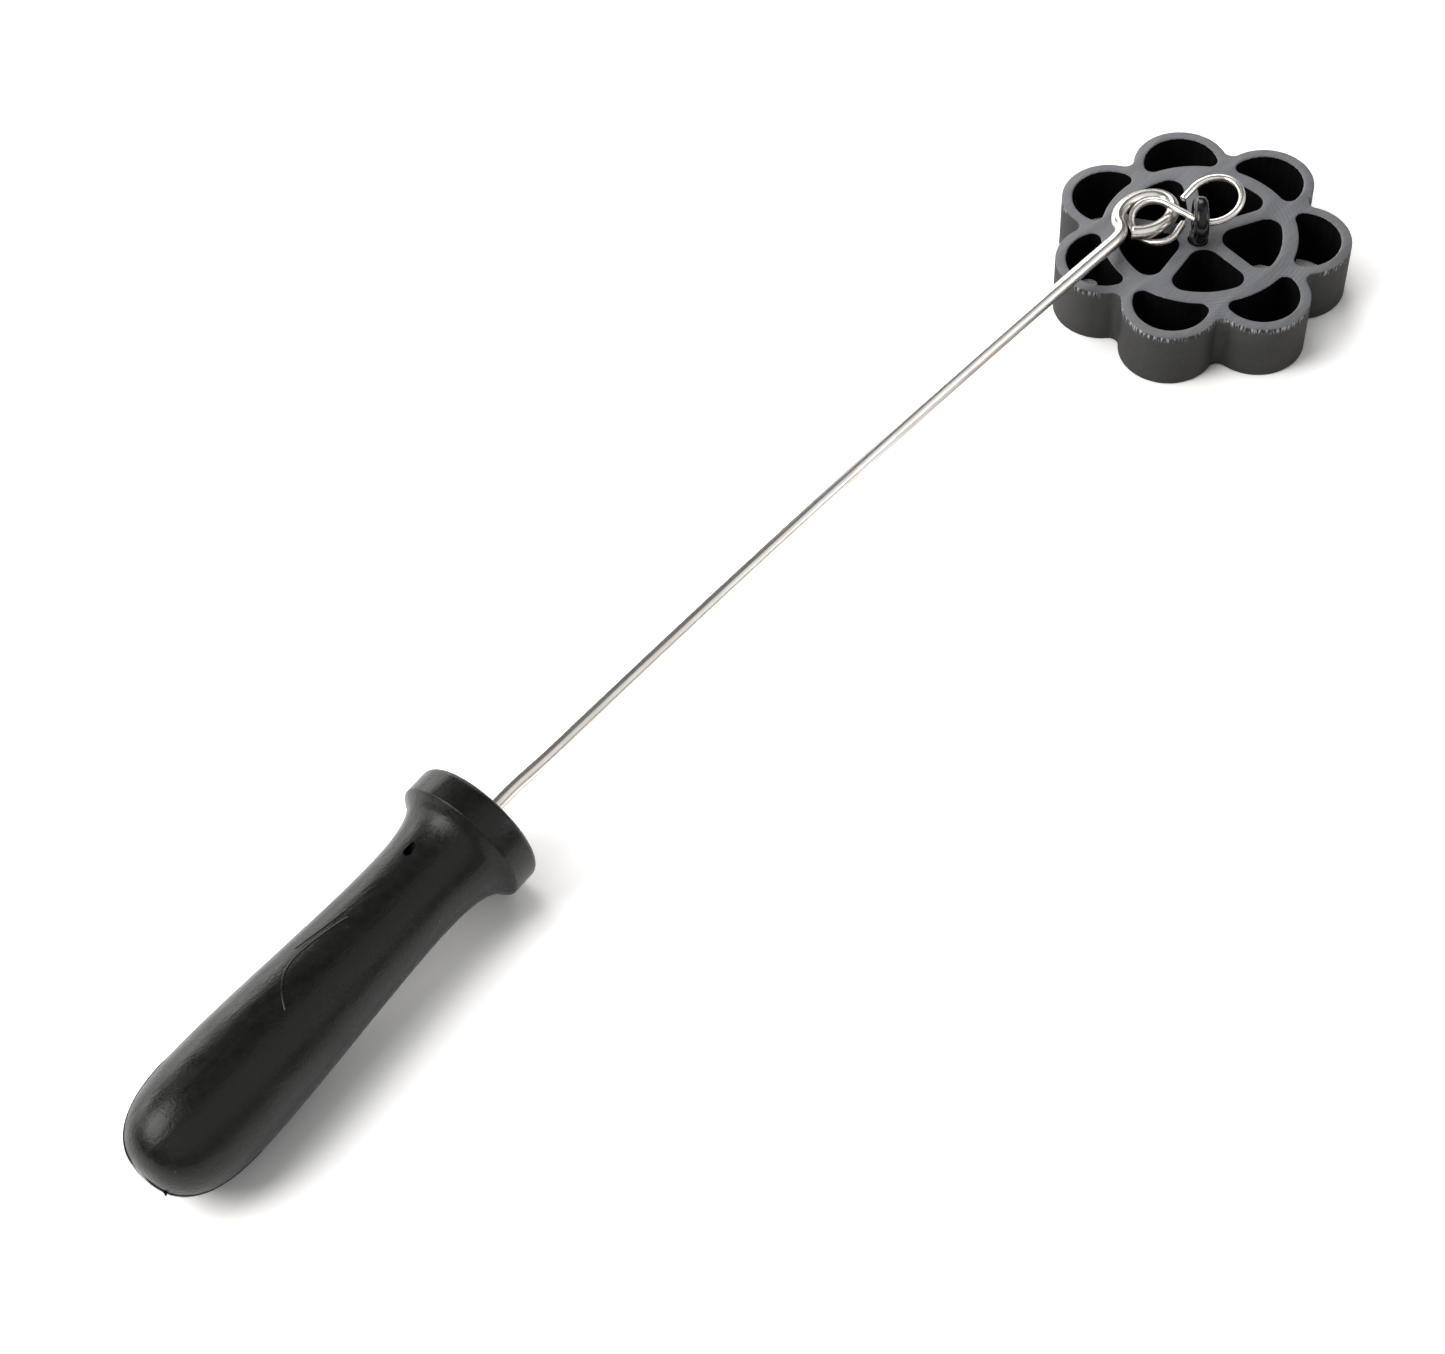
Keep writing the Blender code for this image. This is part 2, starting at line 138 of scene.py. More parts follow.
class EarSettings(bpy.types.PropertyGroup):
    """Sizes and finish of the ear on the hub."""

    radius: length("Radius", "Outside radius of the ear", 6.0)
    thickness: length("Thickness", "Thickness of the ear", 3.7)
    hole: length("Hole radius", "Radius of the hook's hole", 3.1)
    hole_height: length("Hole height", "From the top face to the hole's middle", 6.6)
    rounding: length("Rounding", "Rounding of the ear's rim", 1.5)
    hole_rounding: length("Hole rounding", "Rounding of the hole's edges", 0.5)
    gap: length("Gap", "Seam between the ear and the casting", 0.3)
    turn: angle("Turn", "Turn about the upright axis", 40.0)
    place_x: length("Place X", "Where the ear stands along X", -2.2)
    place_y: length("Place Y", "Where the ear stands along Y", -1.2)
    stud: length("Stud radius", "Radius of the stud under the ear", 2.3)
    stud_depth: length("Stud depth", "How deep it goes into the hub", 10.0)
    stud_rise: length("Stud rise", "How far it reaches into the ear", 1.6)
    colour: colour("Colour", "Glossy coat", (0.004, 0.004, 0.005))
    spot_colour: colour("Spot colour", "Dull spots in the coat", (0.016, 0.016, 0.019))
    gloss: amount("Gloss", "Specular level of the coat", 0.32)


class WireSettings(bpy.types.PropertyGroup):
    """Sizes and finish of the two bent wires."""

    hook_radius: length("Hook radius", "Radius of the hook's wire", 0.9)
    play: length("Play", "Play between hook and rod", 0.55)
    strand: length("Strand", "Place of the straight strand along X", -2.6)
    rod_loop_across: length("Rod loop across", "Half width of the rod's loop", 5.35)
    rod_loop_along: length("Rod loop along", "Half length of the rod's loop", 6.55)
    rod_loop_y: length("Rod loop place", "Middle of the rod's loop along Y", 8.6)
    rod_loop_tail: length("Rod loop tail", "Straight end of the rod's loop", 3.4)
    mould_loop_across: length("Mould loop across", "Half width of the mould's loop", 7.4)
    mould_loop_along: length("Mould loop along", "Half length of the mould's loop", 6.6)
    mould_loop_y: length("Mould loop place", "Middle of the mould's loop along Y", -0.2)
    mould_loop_tail: length("Mould loop tail", "Straight end of the mould's loop", 4.1)
    mould_loop_rise: angle("Mould loop rise", "Upward tilt of the mould's loop", 9.7)
    loop_turn: angle("Loop turn", "How far each loop closes", 270.0)
    rod_radius: length("Rod radius", "Radius of the rod", 1.75)
    rod_y: length("Rod place", "Place of the rod along Y", 11.3)
    rod_start: length("Rod start", "Where the rod leaves the handle", -242.0)
    rod_bend: length("Rod bend", "Length of the bend at the handle", 12.0)
    neck: length("Neck", "Where the shank ends", -22.0)
    neck_height: length("Neck height", "Height of the neck above the mould", 5.6)
    neck_bend: length("Neck bend", "Length of the bend into the eye", 3.0)
    bow: length("Bow", "How far the shank bows upward", 2.9)
    eye_across: length("Eye across", "Half length of the eye along X", 8.7)
    eye_along: length("Eye along", "Half width of the eye along Y", 5.8)
    eye_x: length("Eye place X", "Middle of the eye along X", -6.6)
    eye_y: length("Eye place Y", "Middle of the eye along Y", 12.35)
    eye_slope: angle("Eye slope", "Slope of the eye's plane along X", -7.0)
    eye_opening: angle("Eye opening", "Half of the arc it runs through", 160.0)
    eye_lead: angle("Eye lead", "Arc that sets its first direction", 6.0)
    tail: length("Tail", "Length inside the handle", 8.0)
    chamfer: length("Chamfer", "Rounding of the cut ends", 0.25)
    colour: colour("Colour", "Bright drawn steel", (0.82, 0.795, 0.765))
    stain: colour("Stain", "Duller patches of the steel", (0.62, 0.585, 0.545))


class HandleSettings(bpy.types.PropertyGroup):
    """Sizes and finish of the moulded handle."""

    length: length("Length", "From the flange's face to the dome", 103.0)
    flange: length("Flange radius", "Radius of the flange", 16.0)
    band: length("Flange band", "Width of the flange's rim", 7.2)
    edge: length("Flange edge", "Rounding of the flange", 1.6)
    rear_edge: length("Rear edge", "Rounding of the flange's rear edge", 0.7)
    rear_turn: angle("Rear turn", "Arc of the flange's rear edge", 45.0)
    waist: length("Waist radius", "Radius of the waist", 10.9)
    waist_at: length("Waist place", "From the flange's face to the waist", 24.0)
    flare: length("Flare", "Pull of the long curves", 15.0)
    belly: length("Belly radius", "Radius of the belly", 13.6)
    belly_at: length("Belly place", "From the flange's face to the belly", 82.0)
    dome_power: amount("Dome power", "Fullness of the dome", 2.6)
    turn: angle("Turn", "Turn of the handle in plan", 4.6)
    socket_gap: length("Socket gap", "Gap between the rod and its socket", 0.3)
    pin_radius: length("Pin hole radius", "Radius of its ends", 1.1)
    pin_slot: length("Pin hole slot", "Half of its straight part", 0.8)
    pin_depth: length("Pin hole depth", "Depth of the pin hole", 4.0)
    pin_at: length("Pin hole place", "From the flange's face to it", 18.3)
    pin_turn: angle("Pin hole turn", "Where it looks, about the axis", 80.0)
    seam: length("Parting line", "Radius of its bead", 0.27)
    flow_line: length("Flow line", "Radius of the flow lines", 0.32)
    seam_turn: angle("Parting turn", "Turn of its plane about the axis", 26.8)
    seam_drop: length("Parting drop", "How far it runs off the axis", 1.6)
    gate_at: length("Gate place", "From the axis to the gate's nub", 4.9)
    gate_sink: length("Gate sink", "From the dome's tip to the nub's middle", 0.5)
    gate_radius: length("Gate radius", "Radius of the nub's foot", 0.5)
    gate_tip: length("Gate tip", "Radius of the nub's broken tip", 0.2)
    gate_length: length("Gate length", "Length of the nub", 1.4)
    gate_turn: angle("Gate turn", "Where the nub looks", -120.0)
    colour: colour("Colour", "Black moulded plastic", (0.0030, 0.0031, 0.0029))
    cloud_colour: colour("Cloud colour", "Clouds in the plastic", (0.0045, 0.0047, 0.0044))
    mottle_colour: colour("Mottle colour", "Small dull spots", (0.0066, 0.0069, 0.0063))
    speck_colour: colour("Speck colour", "Rare pale specks", (0.10, 0.10, 0.095))
    seam_colour: colour("Seam colour", "Dull plastic of the parting line", (0.010, 0.010, 0.0095))
    gloss: amount("Gloss", "Specular level of the plastic", 0.27)
    seam_gloss: amount("Seam gloss", "Specular level of the parting line", 0.05)
    haze: amount("Haze", "Weight of the grazing haze", 0.03)


class StageSettings(bpy.types.PropertyGroup):
    """Camera, lamps and floor."""

    camera_place: bpy.props.FloatVectorProperty(
        name="Camera place", description="Where the camera stands", unit="LENGTH",
        default=(-0.40289, -0.24943, 0.46733), precision=5,
    )
    azimuth: angle("Azimuth", "Where the camera looks, from +X", 47.96)
    pitch: angle("Pitch", "How far the camera looks down", 53.609)
    roll: angle("Roll", "Turn of the camera about its own axis", 6.217)
    lens: amount("Lens", "Focal length in mm", 62.284)
    floor_colour: colour("Floor colour", "Pale floor", (0.93, 0.925, 0.92))
    floor_shown: colour("Floor shown", "What the camera and the metal see", (1.18, 1.175, 1.165), 2.0)
    # Painted shade: the floor near the mould, seen only in reflections, takes this darker colour.
    mirrored_floor_shade: colour("Floor mirrored", "Floor near the mould, in the metal", (0.40, 0.36, 0.34))
    low_side: colour("Low side", "Low backdrop in the metal", (0.20, 0.165, 0.150))
    high_side: colour("High side", "High backdrop in the metal", (0.95, 0.94, 0.925))
    far_side: colour("Far side", "Backdrop behind the object in the metal", (0.12, 0.115, 0.11))
    floor_size: length("Floor size", "From the floor's middle to its edge", 6000.0)
    floor_drop: length("Floor drop", "How far the floor lies below the object", 0.02)
    fill: amount("Fill", "Light all round, near side", 0.30)
    fill_far: amount("Far fill", "Light all round, far side", 0.42)
    key: amount("Key", "Watts of the main lamp", 9.5)
    strip: amount("Strip", "Watts of the low wide lamp", 17.0)
    left: amount("Left", "Watts of the lamp on the left", 13.5)
    side: amount("Side", "Watts of the weak lamp on the right", 2.5)
    back: amount("Back", "Watts of the small lamp behind", 0.7)


def settings(name):
    """The scene's values of one group."""
    return getattr(bpy.context.scene, "rosette_" + name)


# Materials


class Nodes:
    """Adds shader nodes to a tree and links them."""

    def __init__(self, tree):
        self.tree = tree

    def node(self, kind, inputs=None, **values):
        """Add a node. An input's value is a number, a vector or another node's output."""
        made = self.tree.nodes.new("ShaderNode" + kind)
        for key, value in values.items():
            setattr(made, key, value)
        for key, value in (inputs or {}).items():
            self.feed(made.inputs[key], value)
        return made

    def feed(self, socket, value):
        """Link an output to a socket, or set its value."""
        if isinstance(value, bpy.types.NodeSocket):
            self.tree.links.new(value, socket)
        elif socket.type == "RGBA":
            socket.default_value = (*value, 1.0)
        else:
            socket.default_value = value

    def place(self, scale=(1.0, 1.0, 1.0), turn=(0.0, 0.0, 0.0), source="Object", shift=(0.0, 0.0, 0.0)):
        """A mapped coordinate."""
        coordinates = self.node("TexCoord").outputs[source]
        return self.node("Mapping", {
            "Vector": coordinates, "Scale": scale, "Rotation": turn, "Location": shift,
        }).outputs[0]

    def grain(self, scale, detail=3.0, roughness=0.55, distortion=0.0, vector=None):
        """A noise value, over the whole piece or over a mapped coordinate."""
        return self.node("TexNoise", {
            "Vector": vector or self.place(), "Scale": scale, "Detail": detail,
            "Roughness": roughness, "Distortion": distortion,
        }).outputs["Fac"]

    def ramp(self, value, start, end, low=0.0, high=1.0):
        """Go from low to high while a value goes from start to end, and stay there."""
        return self.node("MapRange", {
            "Value": value, "From Min": start, "From Max": end, "To Min": low, "To Max": high,
        }, clamp=True).outputs[0]

    def math(self, operation, first, second):
        """One arithmetic step."""
        made = self.node("Math", operation=operation)
        self.feed(made.inputs[0], first)
        self.feed(made.inputs[1], second)
        return made.outputs[0]

    def product(self, first, second):
        """Multiply two values."""
        return self.math("MULTIPLY", first, second)

    def mix(self, factor, first, second):
        """Mix two colours."""
        made = self.node("Mix", data_type="RGBA")
        self.feed(made.inputs[0], factor)
        self.feed(made.inputs[6], first)
        self.feed(made.inputs[7], second)
        return made.outputs[2]

    def tint(self, base, colour, value, start, end, most=1.0):
        """Mix a second colour in where a value goes from start to end, by most at the end."""
        return self.mix(self.ramp(value, start, end, high=most), base, colour)

    def relief(self, *layers):
        """Turn layers into one normal. Each is a value, a depth in mm and a strength."""
        normal = None
        for value, depth, strength in layers:
            made = self.node("Bump", {"Height": value, "Distance": depth * MM, "Strength": strength})
            if normal is not None:
                self.feed(made.inputs["Normal"], normal)
            normal = made.outputs[0]
        return normal

    def size_of(self, vector):
        """A vector's length."""
        return self.node("VectorMath", {"Vector": vector}, operation="LENGTH").outputs["Value"]

    def seen_directly(self):
        """1 for rays from the camera, a mirror or glass."""
        rays = self.node("LightPath")
        either = self.math("MAXIMUM", rays.outputs["Is Camera Ray"], rays.outputs["Is Glossy Ray"])
        return self.math("MAXIMUM", either, rays.outputs["Is Transmission Ray"])

    def blend(self, factor, first, second, output):
        """Mix two shaders into the tree's output."""
        mixed = self.node("MixShader")
        for socket, value in zip(mixed.inputs, (factor, first.outputs[0], second.outputs[0])):
            self.feed(socket, value)
        self.feed(self.tree.nodes[output].inputs["Surface"], mixed.outputs[0])


class Paint(Nodes):
    """A Principled material and the nodes that feed it."""

    def __init__(self, name):
        self.material = bpy.data.materials.new(name)
        self.material.use_nodes = True
        super().__init__(self.material.node_tree)
        self.shader = self.tree.nodes["Principled BSDF"]

    def set(self, **values):
        """Set the shader's sockets: base_color, roughness and so on."""
        for key, value in values.items():
            self.feed(self.shader.inputs[key.replace("_", " ").title().replace("Ior", "IOR")], value)


def casting_paint():
    """Dark coat over a casting: satin walls, a ground top face and a scuffed rim. The top face's lighter
    coat is partly its ground finish and partly a painted sheen of the overhead light.
    """
    mould = settings("mould")
    paint = Paint("coated_casting")
    rim = mould.height
    height = paint.node("SeparateXYZ", {"Vector": paint.place()}).outputs["Z"]
    top = paint.ramp(height, rim - 1.1 * mould.edge, rim - 0.2 * mould.edge)
    cloud = paint.grain(90.0, 4.0)
    pits = paint.grain(900.0, 2.0, 0.6)
    walls = paint.tint(mould.wall_colour, mould.wall_haze, cloud, 0.3, 0.75)
    walls = paint.tint(walls, mould.pit_colour, pits, 0.55, 0.7, 0.5)

    rings = paint.node("TexWave", {
        "Vector": paint.place(), "Scale": 300.0, "Distortion": 2.5, "Detail": 3.0,
        "Detail Scale": 1.4, "Detail Roughness": 0.6,
    }, wave_type="RINGS", rings_direction="Z").outputs["Fac"]
    strokes = paint.place((140.0, 900.0, 1.0), (0.0, 0.0, 0.6))
    ground = paint.grain(1.0, 5.0, 0.65, 0.8, strokes)
    # Painted sheen: the top face gets a lighter coat than the walls, partly ground finish and partly a
    # painted sheen of the overhead light.
    faces = paint.tint(mould.face_colour_and_sheen, mould.face_haze_and_sheen, cloud, 0.3, 0.7, 0.75)
    faces = paint.tint(faces, mould.ground_colour, ground, 0.55, 0.36, 0.35)
    ringed = paint.product(paint.ramp(rings, 0.30, 0.05), paint.ramp(cloud, 0.45, 0.6, high=0.4))
    faces = paint.mix(ringed, faces, mould.ring_colour)
    base = paint.mix(top, walls, faces)

    teeth = paint.grain(1.0, 2.0, 0.5, vector=paint.place((1900.0, 1900.0, 340.0)))
    near_rim = paint.ramp(height, rim - mould.scuff_reach, rim - mould.scuff_full)
    near_rim = paint.product(near_rim, paint.ramp(top, 1.0, 0.0))
    near_rim = paint.product(near_rim, paint.ramp(paint.grain(120.0, 1.0), 0.35, 0.46))
    scuff = paint.product(paint.ramp(teeth, 0.52, 0.60), near_rim)
    nicks = paint.product(paint.ramp(teeth, 0.46, 0.38), near_rim)
    base = paint.mix(paint.product(nicks, 0.8), base, mould.nick_colour)
    base = paint.mix(paint.product(scuff, 0.8), base, mould.scuff_colour)
    normal = paint.relief(
        (paint.grain(2600.0, 3.0, 0.7), 0.05, 0.5), (paint.grain(520.0, 2.0), 0.10, 0.35),
        (paint.product(ground, top), 0.10, 0.4), (scuff, 0.12, 0.8),
    )
    rough = paint.ramp(cloud, 0.3, 0.7, 0.40, 0.52)
    paint.set(base_color=base, roughness=rough, normal=normal, specular_ior_level=mould.gloss)
    return paint.material


def hole_shade_paint():
    """Painted shade inside the holes: a near-black coat that stands in for their shade, with faint upright
    marks.
    """
    mould = settings("mould")
    paint = Paint("sooty_coat")
    marks = paint.grain(1.0, 3.0, 0.6, vector=paint.place((900.0, 900.0, 90.0)))
    base = paint.tint(mould.hole_shade_colour, mould.hole_shade_haze, marks, 0.4, 0.7)
    rough = paint.ramp(marks, 0.0, 1.0, 0.75, 0.9)
    normal = paint.relief((paint.grain(1500.0, 2.0), 0.05, 0.4), (marks, 0.06, 0.4))
    paint.set(base_color=base, roughness=rough, normal=normal, specular_ior_level=mould.hole_gloss)
    return paint.material


def spotted_paint(name, colours, spots, roughness, bumps, gloss):
    """A plain coat with spots of a second colour.

    Spots are a scale, a start and an end, roughness is off and on them, and bumps are a scale, a
    depth in mm and a strength.
    """
    paint = Paint(name)
    scale, start, end = spots
    marks = paint.ramp(paint.grain(scale), start, end)
    bump_scale, depth, strength = bumps
    paint.set(
        base_color=paint.mix(marks, *colours), roughness=paint.ramp(marks, 0.0, 1.0, *roughness),
        normal=paint.relief((paint.grain(bump_scale, 2.0), depth, strength)), specular_ior_level=gloss,
    )
    return paint.material


def ear_paint():
    """Glossy black coat with a few dull spots."""
    ear = settings("ear")
    colours = (ear.colour, ear.spot_colour)
    return spotted_paint(
        "blackened_steel", colours, (420.0, 0.45, 0.7), (0.14, 0.34), (700.0, 0.08, 0.35), ear.gloss
    )


def wire_paint():
    """Bright drawn steel: fine lines run along the wire."""
    wire = settings("wire")
    paint = Paint("bright_wire")
    drawn = paint.grain(1.0, 4.0, 0.7, vector=paint.place((60.0, 26.0, 1.0), source="UV"))
    cloud = paint.grain(140.0)
    base = paint.tint(wire.colour, wire.stain, cloud, 0.35, 0.7, 0.6)
    dull, lined = paint.ramp(cloud, 0.3, 0.7, 0.22, 0.28), paint.ramp(drawn, 0.35, 0.65, high=0.07)
    normal = paint.relief((drawn, 0.01, 0.15))
    paint.set(base_color=base, metallic=1.0, roughness=paint.math("ADD", lined, dull), normal=normal)
    return paint.material


def handle_paint():
    """Black moulded plastic: fine grain, cloudy sheen, small dull spots and rare pale specks."""
    handle = settings("handle")
    paint = Paint("moulded_plastic")
    flow = paint.grain(42.0, 3.0, 0.55, 1.6, paint.place((1.0, 5.0, 3.0), (0.0, 0.25, 0.55)))
    mottle = paint.grain(420.0, 4.0, 0.65)
    base = paint.tint(handle.colour, handle.cloud_colour, paint.grain(55.0, 3.0, 0.5, 0.6), 0.35, 0.7, 0.7)
    base = paint.tint(base, handle.mottle_colour, mottle, 0.35, 0.75, 0.8)
    speck = paint.node("TexVoronoi", {"Vector": paint.place(), "Scale": 620.0, "Randomness": 1.0})
    pick = paint.node("SeparateColor", {"Color": speck.outputs["Color"]}).outputs[0]
    rare = paint.math("GREATER_THAN", pick, 0.965)
    dots = paint.product(paint.ramp(speck.outputs["Distance"], 0.16, 0.05), rare)
    base = paint.mix(paint.product(dots, 0.6), base, handle.speck_colour)
    satin, dull = paint.ramp(flow, 0.35, 0.68, 0.25, 0.35), paint.ramp(mottle, 0.35, 0.65, high=0.06)
    normal = paint.relief(
        (paint.grain(1500.0, 2.0, 0.6), 0.09, 0.8), (paint.grain(3600.0, 1.0), 0.03, 0.6),
        (mottle, 0.08, 0.4), (dots, 0.04, 0.8), (flow, 0.5, 0.3),
    )
    paint.set(
        base_color=base, roughness=paint.math("ADD", satin, dull), normal=normal,
        specular_ior_level=handle.gloss, sheen_weight=handle.haze, sheen_roughness=0.40,
    )
    return paint.material


def seam_paint():
    """Dull dark plastic of the parting line."""
    handle = settings("handle")
    colours = (handle.colour, handle.seam_colour)
    return spotted_paint(
        "parting_plastic", colours, (700.0, 0.4, 0.7), (0.6, 0.8), (1500.0, 0.05, 0.5), handle.seam_gloss
    )


# Modelling


def new_object(name, data):
    """Make an object in the scene."""
    made = bpy.data.objects.new(name, data)
    bpy.context.scene.collection.objects.link(made)
    return made


def mesh_object(name, shape):
    """Turn a bmesh into an object in the scene."""
    mesh = bpy.data.meshes.new(name)
    shape.to_mesh(mesh)
    shape.free()
    return new_object(name, mesh)


def drawn_shape(source):
    """A bmesh of an object with its modifiers applied, or of a filled curve."""
    bpy.context.view_layer.update()
    depsgraph = bpy.context.evaluated_depsgraph_get()
    shape = bmesh.new()
    shape.from_mesh(bpy.data.meshes.new_from_object(source.evaluated_get(depsgraph)))
    return shape


def finish_piece(shape, name, paints, body, node):
    """Turn a bmesh into a finished piece that rides on a body and stands for a CAD node."""
    if len(shape.faces) == 0:
        raise RuntimeError("nothing was made of " + name)
    # Rounding can leave a vertex a hair outside the CAD box.
    for vert in shape.verts:
        vert.co = Vector(max(low, min(high, at)) for at, low, high in zip(vert.co, CAD_LOW, CAD_HIGH))
    piece = mesh_object(name, shape)
    for paint in paints:
        piece.data.materials.append(paint)
    piece.data.shade_smooth()
    piece.data.set_sharp_from_angle(angle=SHARP_EDGE)
    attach(piece, body)
    if node:
        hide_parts(node)


def upright(ear, radius, bottom, top):
    """A cylinder on the ear's upright axis, as carve takes it."""
    return radius, top - bottom, Matrix.Translation((ear.place_x, ear.place_y, (bottom + top) / 2))


def carve(shape, cylinders, operation):
    """Cut or join cylinders with a bmesh. Each one is a radius, a length and a place."""
    blank = mesh_object("blank", shape)
    tools = []
    for radius, depth, place in cylinders:
        tool_shape = bmesh.new()
        bmesh.ops.create_cone(
            tool_shape, cap_ends=True, segments=48, radius1=radius, radius2=radius, depth=depth, matrix=place
        )
        tool = mesh_object("cutter", tool_shape)
        cut = blank.modifiers.new("cut", "BOOLEAN")
        cut.operation = operation
        cut.solver = "EXACT"
        cut.object = tool
        tools.append(tool)
    result = drawn_shape(blank)
    for old in [blank, *tools]:
        bpy.data.objects.remove(old)
    return result


def polar(radius, turn, centre=(0.0, 0.0)):
    """A flat point at a radius and a turn about a centre."""
    return (centre[0] + radius * math.cos(turn), centre[1] + radius * math.sin(turn))


def turned(point, turn):
    """A flat point, turned about the axis."""
    cosine, sine = math.cos(turn), math.sin(turn)
    return (point[0] * cosine - point[1] * sine, point[0] * sine + point[1] * cosine)


def direction(azimuth, rise):
    """The direction that points along an azimuth and upward by a rise."""
    return Vector((*polar(math.cos(rise), azimuth), math.sin(rise)))


def facing(place, forward, axis="Z"):
    """A frame at a place, with one axis looking forward."""
    return Matrix.Translation(place) @ forward.to_track_quat(axis, "Y").to_matrix().to_4x4()


def arc(centre, radius, start, end, steps):
    """Points along an arc, both ends included."""
    turns = [start + (end - start) * step / steps for step in range(steps + 1)]
    return [polar(radius, turn, centre) for turn in turns]


def flat_bezier(controls, points):
    """Flat points along a curve with four control points, both ends included."""
    curve = interpolate_bezier(*[Vector((x, y, 0.0)) for x, y in controls], points)
    return [(point.x, point.y) for point in curve]


def spun(profile, steps, closed):
    """Spin a profile of radii and depths about the axis."""
    shape = bmesh.new()
    corners = [shape.verts.new((radius, 0.0, depth)) for radius, depth in profile]
    followers = corners[1:] + (corners[:1] if closed else [])
    for first, second in zip(corners, followers):
        shape.edges.new((first, second))
    bmesh.ops.spin(
        shape, geom=shape.verts[:] + shape.edges[:], axis=(0.0, 0.0, 1.0), cent=(0.0, 0.0, 0.0),
        angle=2 * math.pi, steps=steps, use_merge=True,
    )
    bmesh.ops.remove_doubles(shape, verts=shape.verts, dist=MERGE_GAP)
    bmesh.ops.recalc_face_normals(shape, faces=shape.faces)
    return shape


def add_outline(curve, points, turn):
    """Add a closed outline to a flat curve, turned about the axis and with no point twice."""
    kept = []
    for point in points:
        point = turned(point, turn)
        if not kept or math.dist(point, kept[-1]) > POINT_GAP:
            kept.append(point)
    if math.dist(kept[0], kept[-1]) < POINT_GAP:
        kept.pop()
    spline = curve.splines.new("POLY")
    spline.points.add(len(kept) - 1)
    for target, (x, y) in zip(spline.points, kept):
        target.co = (x, y, 0.0, 1.0)
    spline.use_cyclic_u = True


def flower_points(mould):
    """The outer line: petals with filleted valleys."""
    pitch = math.pi / mould.petals
    centre = mould.radius - mould.petal_radius
    inward = mould.valley_radius - centre * math.cos(pitch)
    aside = centre * math.sin(pitch)
    fillet = (inward ** 2 + aside ** 2 - mould.petal_radius ** 2) / (2 * (mould.petal_radius - inward))
    valley = polar(mould.valley_radius + fillet, pitch)
    reach = math.atan2(valley[1], valley[0] - centre)
    petal = arc((centre, 0.0), mould.petal_radius, -reach, reach, 110)
    petal += arc(valley, fillet, reach + math.pi, 2 * pitch - reach + math.pi, 24)[1:-1]
    return [turned(point, 2 * pitch * index) for index in range(mould.petals) for point in petal]


def petal_hole_points(mould):
    """One bean-shaped hole behind a petal's wall."""
    centre = mould.radius - mould.petal_radius
    outer = mould.petal_radius - mould.petal_wall
    inner = mould.sector_radius + mould.web
    corner = mould.petal_corner
    x = ((inner + corner) ** 2 - (outer - corner) ** 2 + centre ** 2) / (2 * centre)
    y = math.sqrt((inner + corner) ** 2 - x ** 2)
    reach, spread = math.atan2(y, x - centre), math.atan2(y, x)
    points = arc((centre, 0.0), outer, -reach, reach, 56)
    points += arc((x, y), corner, reach, spread + math.pi, 16)
    points += arc((0.0, 0.0), inner, spread, -spread, 20)
    points += arc((x, -y), corner, math.pi - spread, 2 * math.pi - reach, 16)
    return points


def sector_hole_points(mould):
    """One rounded triangle between two spokes."""
    pitch = math.pi / mould.sectors
    half = mould.spoke / 2
    apex = (half + mould.sector_apex) / math.sin(pitch)
    reach = mould.sector_radius - mould.sector_corner
    turn = pitch - math.asin((half + mould.sector_corner) / reach)
    x, y = polar(reach, turn)
    side = pitch + math.pi / 2
    points = arc((0.0, 0.0), mould.sector_radius, -turn, turn, 20)
    points += arc((x, y), mould.sector_corner, turn, side, 20)
    points += arc((apex, 0.0), mould.sector_apex, side, 2 * math.pi - side, 20)
    points += arc((x, -y), mould.sector_corner, 2 * math.pi - side, 2 * math.pi - turn, 20)
    return points


def roughen_rim(shape, mould):
    """Make the trimmed outer rim slightly uneven, in patches."""
    for vert in shape.verts:
        x, y, z = vert.co
        out = math.hypot(x, y)
        if z < mould.height - 3 * mould.edge or out < mould.valley_radius - mould.edge:
            continue
        tooth = noise.noise(Vector((x, y, 0.0)) * 1400.0)
        patch = max(0.0, noise.noise(Vector((x, y, 5.0)) * 110.0) + 0.25)
        bite = mould.burr * abs(tooth) * patch
        vert.co.z -= 0.5 * bite * (z - mould.height + 3 * mould.edge) / mould.edge / 3
        vert.co.x -= bite * x / out
        vert.co.y -= bite * y / out


def paint_hole_shade(shape, mould):
    """Give the holes' walls the second material, the painted shade inside the holes."""
    pitch = 2 * math.pi / mould.petals
    centre = mould.radius - mould.petal_radius
    for face in shape.faces:
        x, y, z = face.calc_center_median()
        petal = mould.petal_turn + pitch * round((math.atan2(y, x) - mould.petal_turn) / pitch)
        in_petal = math.dist((x, y), polar(centre, petal)) < mould.petal_radius - mould.petal_wall / 2
        in_sector = math.hypot(x, y) < mould.sector_radius + mould.web / 2
        standing = abs(face.normal.z) < 0.45
        if (in_petal or in_sector) and standing and z > mould.edge / 2:
            face.material_index = 1


